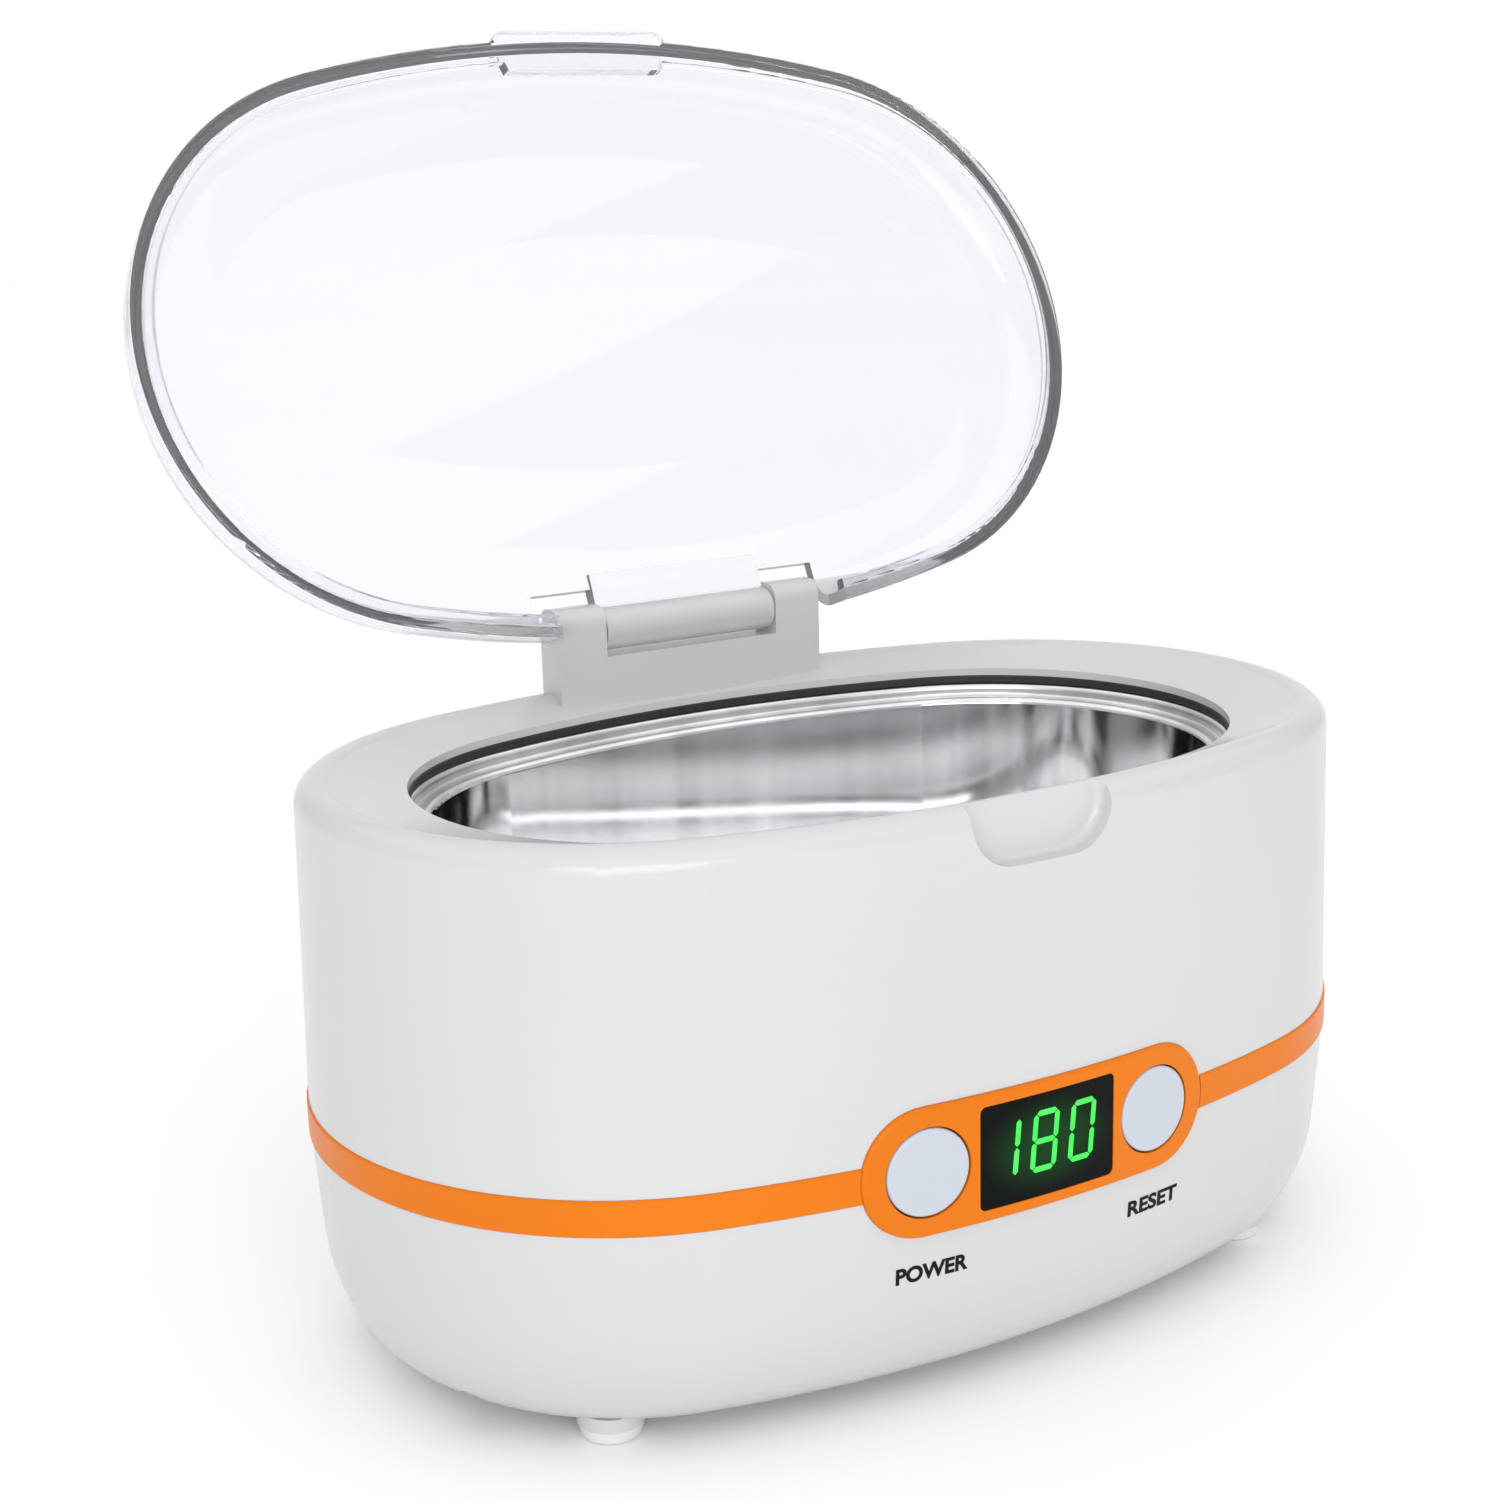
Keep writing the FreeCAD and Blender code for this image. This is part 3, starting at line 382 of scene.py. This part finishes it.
def floor_paint():
    """Plain pale studio floor."""
    material, tree, shader = new_material("floor_paint")
    drift = noise(tree, 1.5, 2.0)
    tree.links.new(ramp(tree, drift, (0.945, 0.945, 0.945), (0.96, 0.96, 0.96)), shader.inputs["Base Color"])
    set_sockets(shader, Roughness=0.8, Specular_IOR_Level=0.2)
    return material


NODE_MATERIALS = {
    white_casing: ["upper_casing", "lower_casing"],
    orange_trim: ["band_trim", "control_panel"],
    button_plastic: ["power_button", "reset_button"],
    window_tint: ["display_window"],
    black_rubber: ["tank_seal", "cord_gland"],
    foot_rubber: ["feet"],
    tank_steel: ["tank"],
    screw_steel: ["case_screws", "clamp_screws", "panel_board_screws", "power_board_screws"],
    pin_steel: ["hinge_pin"],
    clip_steel: ["tank_clamps"],
    sink_aluminium: ["heat_sink"],
    piezo_ceramic: ["transducer"],
    module_black: ["display_module", "panel_switches", "drive_transistor"],
    ferrite: ["transformer_core", "output_inductor"],
    coil_tape: ["transformer_coil"],
    capacitor_sleeve: ["capacitors"],
    board_green: ["panel_board", "power_board"],
    terminal_green: ["terminal_block"],
    fuse_glass: ["fuse_link"],
    clear_lid: ["lid"],
}


def paint_nodes():
    """Gives every CAD node its material."""
    for make, names in NODE_MATERIALS.items():
        material = make()
        for name in names:
            for slot in NODES[name].material_slots:
                slot.material = material


# ---- Pieces ----------------------------------------------------------------------------------

def add_piece(name, mesh, material, body):
    """Links a mesh as a piece that rides on a body."""
    piece = bpy.data.objects.new(name, mesh)
    bpy.context.scene.collection.objects.link(piece)
    piece.data.materials.clear()
    piece.data.materials.append(material)
    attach(piece, body)
    return piece


def front_surface(node):
    """Returns a function that gives the y of a CAD node's front surface at (x, z)."""
    mesh = NODES[node].data
    points = [vertex.co for vertex in mesh.vertices]
    polygons = [tuple(polygon.vertices) for polygon in mesh.polygons]
    surface = BVHTree.FromPolygons(points, polygons)
    start_y = CAD_BOUNDS[0][1] - 100 * MM

    def front(x, z):
        return surface.ray_cast(Vector((x, start_y, z)), Vector((0, 1, 0)))[0].y

    return front


SEGMENT_WIDE = 4.5 * MM
SEGMENT_TALL = 5.05 * MM
SEGMENT_WIDTH = 1.0 * MM
SEGMENT_END_GAP = 0.12 * MM
DIGIT_PITCH = 8.1 * MM
DIGIT_THICKNESS = 0.12 * MM
DIGIT_SLANT = math.tan(math.radians(5))
READOUT_SHIFT = (-0.9 * MM, 0.65 * MM)
# Each segment's place across and up, in segment lengths, and whether it stands upright.
SEGMENTS = {
    "a": (0, 1, False), "b": (0.5, 0.5, True), "c": (0.5, -0.5, True), "d": (0, -1, False),
    "e": (-0.5, -0.5, True), "f": (-0.5, 0.5, True), "g": (0, 0, False),
}
LIT = {"1": "bc", "8": "abcdefg", "0": "abcdef"}
# How far the digits and the printed words stand in front of the surface under them.
PROUD = 0.04 * MM

# The word under each button and its width.
LABELS = {"power": ("POWER", 13.9 * MM), "reset": ("RESET", 12.5 * MM)}
LABEL_DROP = 18.45 * MM
LABEL_SHIFT = 1.55 * MM
LABEL_HEIGHT = 3.1 * MM
LABEL_WEIGHT = 0.12 * MM
# Edges longer than this are cut once, so that a word follows the curved wall.
LABEL_LONG_EDGE = 1.2 * MM


def segment_outline(centre_x, centre_z, upright):
    """Six-sided bar of one segment, in the digit's own plane."""
    half = (SEGMENT_TALL if upright else SEGMENT_WIDE) / 2 - SEGMENT_END_GAP
    width = SEGMENT_WIDTH / 2
    tip = half - width
    bar = [(-half, 0), (-tip, -width), (tip, -width), (half, 0), (tip, width), (-tip, width)]
    if upright:
        bar = [(-z, x) for x, z in bar]
    return [(centre_x + x, centre_z + z) for x, z in bar]


def add_digits():
    """The lit three-digit readout, standing just proud of the window's face."""
    bm = bmesh.new()
    front = front_surface("display_window")
    for index, figure in enumerate("180"):
        origin_x = WINDOW_MIDDLE.x + READOUT_SHIFT[0] + (index - 1) * DIGIT_PITCH
        for letter in LIT[figure]:
            across, up, upright = SEGMENTS[letter]
            outline = segment_outline(across * SEGMENT_WIDE, up * SEGMENT_TALL, upright)
            corners = []
            for x, z in outline:
                x = origin_x + x + z * DIGIT_SLANT
                z = WINDOW_MIDDLE.z + READOUT_SHIFT[1] + z
                corners.append((x, front(x, z), z))
            back = [bm.verts.new((x, y + DIGIT_THICKNESS, z)) for x, y, z in corners]
            face = [bm.verts.new((x, y - PROUD, z)) for x, y, z in corners]
            bm.faces.new(face)
            bm.faces.new(reversed(back))
            for i in range(len(face)):
                j = (i + 1) % len(face)
                bm.faces.new((face[j], face[i], back[i], back[j]))
    bmesh.ops.recalc_face_normals(bm, faces=bm.faces)
    mesh = bpy.data.meshes.new("display_digits")
    bm.to_mesh(mesh)
    bm.free()
    add_piece("display_digits", mesh, lit_digit(), "base")


def text_mesh(name, text, size):
    """Flat mesh of a word in Blender's own font, slightly bolder."""
    curve = bpy.data.curves.new(name + "_curve", "FONT")
    curve.body = text
    curve.size = size
    curve.offset = LABEL_WEIGHT
    curve.resolution_u = 6
    holder = bpy.data.objects.new(name + "_curve", curve)
    bpy.context.scene.collection.objects.link(holder)
    bpy.context.view_layer.update()
    evaluated = holder.evaluated_get(bpy.context.evaluated_depsgraph_get())
    mesh = bpy.data.meshes.new_from_object(evaluated)
    bpy.data.objects.remove(holder)
    mesh.name = name
    return mesh


def add_label(name, text, centre_x, centre_z, width, height):
    """Printed word that follows the casing's front surface."""
    mesh = text_mesh(name, text, height)
    bm = bmesh.new()
    bm.from_mesh(mesh)
    bmesh.ops.triangulate(bm, faces=bm.faces)
    long_edges = [edge for edge in bm.edges if edge.calc_length() > LABEL_LONG_EDGE]
    bmesh.ops.subdivide_edges(bm, edges=long_edges, cuts=1)
    across = [vert.co.x for vert in bm.verts]
    up = [vert.co.y for vert in bm.verts]
    scale_x = width / (max(across) - min(across))
    scale_z = height / (max(up) - min(up))
    middle_x = (max(across) + min(across)) / 2
    middle_z = (max(up) + min(up)) / 2
    front = front_surface("lower_casing")
    for vert in bm.verts:
        x = centre_x + (vert.co.x - middle_x) * scale_x
        z = centre_z + (vert.co.y - middle_z) * scale_z
        vert.co = Vector((x, front(x, z) - PROUD, z))
    bm.to_mesh(mesh)
    bm.free()
    add_piece(name, mesh, printed_ink(), "base")


def add_labels():
    """A word under each button."""
    for button, (text, width) in LABELS.items():
        place = middle(button + "_button")
        centre = (place.x + LABEL_SHIFT, place.z - LABEL_DROP)
        add_label(button + "_label", text, *centre, width, LABEL_HEIGHT)


# ---- Studio ----------------------------------------------------------------------------------

FLOOR_HALF = 6.0
KEY_LIGHT = {"place": (-0.62, -1.25, 0.42), "aim": (0, 0, 0.07), "size": (1.3, 0.5), "power": 9.0}
SKY_STRENGTH = 1.32
SKY_ANGLE = math.radians(110)
# Level direction from the camera past the machine, where the surroundings are brightest.
BACKDROP_WAY = (0.511, 0.859, 0)
BACKDROP_EDGE = (0.72, 0.92)
BACKDROP_STRENGTH = (0.62, 1.0)
CAMERA_AZIMUTH = math.radians(-30.75)
CAMERA_ELEVATION = math.radians(13.87)
CAMERA_ROLL = math.radians(-1.44)
CAMERA_DISTANCE = 0.45
CAMERA_TARGET = Vector((-0.0103, CASE_MIDDLE.y + 0.0132, 0.1014))
CAMERA_LENS = 56.7
CAMERA_SENSOR = 36.0


def add_floor():
    """Level square floor."""
    mesh = bpy.data.meshes.new("studio_floor")
    corners = [(x * FLOOR_HALF, y * FLOOR_HALF, 0) for x, y in ((-1, -1), (1, -1), (1, 1), (-1, 1))]
    mesh.from_pydata(corners, [], [(0, 1, 2, 3)])
    floor = bpy.data.objects.new("studio_floor", mesh)
    bpy.context.scene.collection.objects.link(floor)
    mesh.materials.append(floor_paint())


def add_lamp(light, place):
    lamp = bpy.data.objects.new(light.name, light)
    lamp.location = place
    bpy.context.scene.collection.objects.link(lamp)
    return lamp


def add_softbox(name, place, aim, size, power):
    """Rectangular soft light that faces its aim."""
    light = bpy.data.lights.new(name, "AREA")
    light.shape = "RECTANGLE"
    light.size, light.size_y = size
    light.energy = power
    direction = Vector(aim) - Vector(place)
    add_lamp(light, place).rotation_euler = direction.to_track_quat("-Z", "Y").to_euler()


def add_sky_light():
    """Very soft light from overhead, even over the whole floor."""
    light = bpy.data.lights.new("sky_light", "SUN")
    light.energy = SKY_STRENGTH
    light.angle = SKY_ANGLE
    add_lamp(light, (0, 0, 2))


def add_world():
    """Even pale surroundings, brightest straight behind the machine."""
    world = bpy.data.worlds.new("studio")
    world.use_nodes = True
    tree = world.node_tree
    background = tree.nodes["Background"]
    towards = vector_math(
        tree, "DOT_PRODUCT", add_node(tree, "TexCoord").outputs["Generated"], BACKDROP_WAY)
    strength = map_range(
        tree, towards.outputs["Value"], *BACKDROP_EDGE, *BACKDROP_STRENGTH, "SMOOTHSTEP")
    tree.links.new(strength, background.inputs["Strength"])
    set_sockets(background, Color=(1.0, 1.0, 1.0, 1))
    bpy.context.scene.world = world


def add_camera():
    """Camera slightly above the rim, to the front left, with a slight roll."""
    back = Vector((
        math.sin(CAMERA_AZIMUTH) * math.cos(CAMERA_ELEVATION),
        -math.cos(CAMERA_AZIMUTH) * math.cos(CAMERA_ELEVATION),
        math.sin(CAMERA_ELEVATION),
    ))
    right = (-back).cross(Vector((0, 0, 1))).normalized()
    up = right.cross(-back)
    axis_x = right * math.cos(CAMERA_ROLL) + up * math.sin(CAMERA_ROLL)
    axis_y = up * math.cos(CAMERA_ROLL) - right * math.sin(CAMERA_ROLL)
    place = Matrix((axis_x, axis_y, back)).transposed().to_4x4()
    place.translation = CAMERA_TARGET + back * CAMERA_DISTANCE
    data = bpy.data.cameras.new("camera")
    data.lens = CAMERA_LENS
    data.sensor_width = CAMERA_SENSOR
    camera = bpy.data.objects.new("camera", data)
    camera.matrix_world = place
    bpy.context.scene.collection.objects.link(camera)
    bpy.context.scene.camera = camera


paint_nodes()
add_digits()
add_labels()
add_floor()
add_world()
add_softbox("key_light", **KEY_LIGHT)
add_sky_light()
add_camera()
bpy.context.scene.view_settings.view_transform = "Standard"
